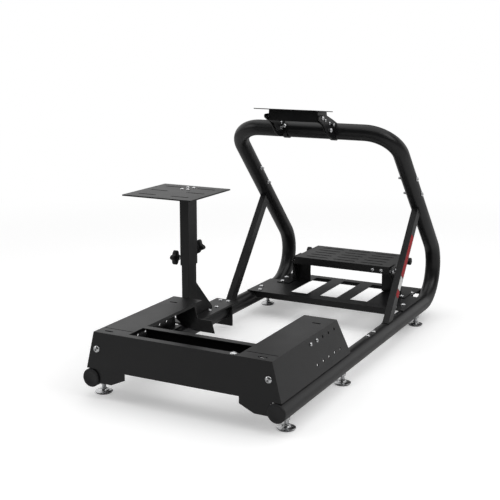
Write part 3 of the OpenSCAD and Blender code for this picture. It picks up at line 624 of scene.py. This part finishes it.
# %% End caps
plug = [(0, -2.6), (15, -2.6), (16.2, -3.4), (21.5, -3.6), (23.6, -2.9), (24.8, -1.2),
        (25, -0.4), (23.2, -0.4), (23.2, 14), (22.2, 14.6), (0, 14.6)]
for side, hand in sides:
    cap = stood(turned(bmesh.new(), plug, 64), (side * rail_x, 0, rail_z), (0, 1, 0))
    piece(f"rail_plug_{hand}", cap, moulded, "frame", [f"end_cap_{hand}"])

# %% [markdown]
# ## Weld beads
# Struts, posts and gussets are welded. A bead is a row of small overlapping scales along the
# seam, coated with the rest. A swept round would look like a wire, so each seam is walked in
# short steps that each leave one flat blob of few faces.

# %% Bead helper
def bead(path, size=2.4, step=2.6):
    """Overlapping scales along a closed or open path of points in millimetres."""
    blob = bmesh.new()
    bmesh.ops.create_icosphere(blob, subdivisions=1, radius=size / 1000)
    parts = []
    for a, b in zip(path, path[1:]):
        a, b = Vector(a), Vector(b)
        turn = (b - a).to_track_quat("Z", "Y").to_matrix().to_4x4()
        count = max(1, round((b - a).length / step))
        for i in range(count):
            copy = blob.copy()
            bmesh.ops.scale(copy, vec=(1, 1, 0.75), verts=copy.verts)
            spot = Matrix.Translation(a.lerp(b, i / count) / 1000)
            bmesh.ops.transform(copy, verts=copy.verts, matrix=spot @ turn)
            parts.append(copy)
    blob.free()
    return parts

# %% [markdown]
# ## Beads of the struts
# A strut is a rectangular tube that ends on two round ones, so its seams are curves in space.
# Each point of the strut's outline is sent along the strut until it meets the round tube. That is
# where a line meets a cylinder, which one quadratic formula answers exactly.

# %% Beads of the struts
strut_lean = math.radians(38.7)
strut_root = Vector((0, 762, 83))
strut_way = Vector((0, math.sin(strut_lean), math.cos(strut_lean)))
strut_side = Vector((0, strut_way.z, -strut_way.y))
leg_way = Vector((0, -math.sin(lean), math.cos(lean)))

def meet(point, centre, axis):
    """The two places, lower one first, where a line along the strut meets a round tube."""
    p, d = (v - axis * v.dot(axis) for v in (point - centre, strut_way))
    a, b, c = d.dot(d), 2 * p.dot(d), p.dot(p) - (tube_r + 0.4) ** 2
    root = math.sqrt(max(0.0, b * b - 4 * a * c))
    return [point + strut_way * ((-b + s * root) / (2 * a)) for s in (-1, 1)]

corners = [(-10.3, -15.3), (10.3, -15.3), (10.3, 15.3), (-10.3, 15.3), (-10.3, -15.3)]
outline = [(x0 + (x1 - x0) * i / 8, v0 + (v1 - v0) * i / 8)
           for (x0, v0), (x1, v1) in zip(corners, corners[1:]) for i in range(8)]
outline.append(corners[0])
for side, hand in sides:
    low_seam, high_seam = [], []
    for x, v in outline:
        at = strut_root + Vector((side * rail_x + x, 0, 0)) + strut_side * v
        low_seam.append(meet(at, Vector((side * rail_x, 0, rail_z)), Vector((0, 1, 0)))[1])
        high_seam.append(meet(at, Vector((side * rail_x, lean_y, lean_z)), leg_way)[0])
    piece(f"strut_beads_{hand}", joined(bead(low_seam) + bead(high_seam)), powder, "frame")

# %% [markdown]
# ## Beads of the stand
# The post is welded to its base all round, and the gusset along both of its legs on either side.
# These seams are straight, so a few corner points are enough.

# %% Beads of the stand
west, east = -rail_x - post_half_x, -rail_x + post_half_x
back, front = stand_y - post_half_y, stand_y + post_half_y
ring = [(west, back), (east, back), (east, front), (west, front), (west, back)]
parts = bead([(x, y, base_top + 0.6) for x, y in ring])
for side, _ in sides:
    x = -rail_x + side * 2.4
    parts += bead([(x, 526, base_top + 0.4), (x, 634, base_top + 0.4)], 2.0)
    parts += bead([(x, 523.2, base_top + 6), (x, 523.2, 200)], 2.0)
piece("stand_beads", joined(parts), powder, "frame")

# %% [markdown]
# ## Stripe
# The outer face of the right strut carries a plain sticker: a long red field, a white one below
# it and a short red end. A painted texture would be one way; three thin plates with rounded
# corners, 0.4 mm thick, also give the sheet its edge.

# %% Stripe
stripe_half, stripe_lift = 12, 0.2

def sticker(name, low, high, material):
    """A thin rounded plate on the strut's outer face between two lengths along the strut."""
    bm = bmesh.new()
    bmesh.ops.create_cube(bm, size=1.0)
    bmesh.ops.scale(bm, vec=(0.0004, stripe_half * 2 / 1000, (high - low) / 1000),
                    verts=bm.verts)
    rims = [e for e in bm.edges if abs(e.verts[0].co.x - e.verts[1].co.x) > 0.0001]
    bmesh.ops.bevel(bm, geom=rims, offset=0.003, affect="EDGES", segments=4, profile=0.5,
                    material=-1)
    middle = strut_root + Vector((rail_x + 10.0 + stripe_lift, 0, 0))
    middle += strut_way * (low + high) / 2
    turn = Matrix.Rotation(-strut_lean, 4, "X")
    bmesh.ops.transform(bm, matrix=Matrix.Translation(middle / 1000) @ turn, verts=bm.verts)
    piece(name, bm, material, "frame", angle=20)

sticker("stripe_red_panel", 154, 298, red_paint)
sticker("stripe_white_bar", 109, 151, white_paint)
sticker("stripe_red_end", 84, 106, red_paint)
